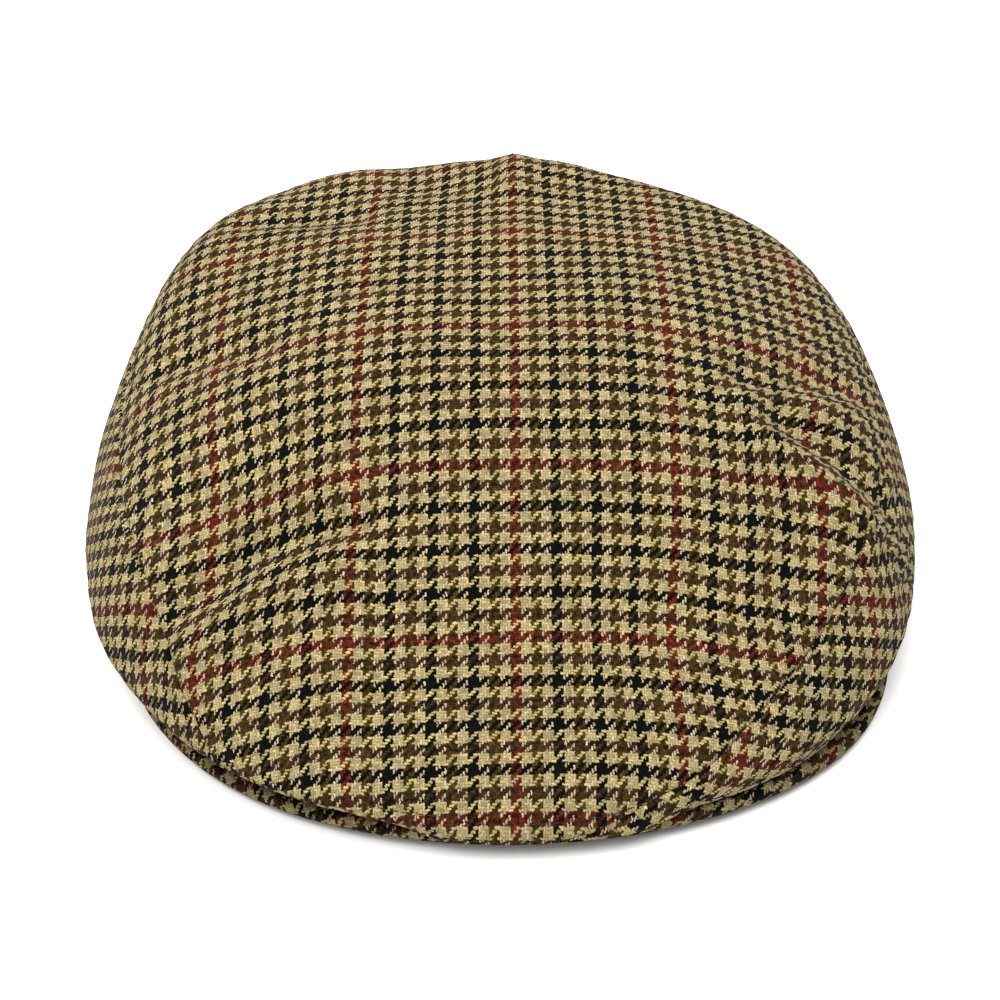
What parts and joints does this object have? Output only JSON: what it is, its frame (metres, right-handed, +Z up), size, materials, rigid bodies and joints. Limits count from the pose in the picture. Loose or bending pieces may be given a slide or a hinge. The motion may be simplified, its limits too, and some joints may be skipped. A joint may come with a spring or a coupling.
{
  "type": "flat cap",
  "caption": "Soft flat cap in checked tweed: a one-piece top pulled low over a covered peak, side panels that meet at the back, hollow and open below.",
  "frame": {"origin": "on the surface that the cap lies on, under the middle of its bounding box", "axes": "+Z up, front of the cap (its peak) towards -Y, +X to the right of the picture; left and right in the pieces' names are as seen there"},
  "size_m": [0.2592, 0.271, 0.0854],
  "materials": {
    "tweed_top": "woven wool, gun club check of cream, brown, black and rust red, matt",
    "tweed_sides": "the same woven wool, cut on another grain, matt",
    "tweed_peak": "the same woven wool stretched over a stiff board, matt"
  },
  "bodies": {
    "root": {"top_panel": "tweed_top", "side_panel_right": "tweed_sides", "side_panel_left": "tweed_sides", "peak": "tweed_peak"}
  },
  "joints": []
}
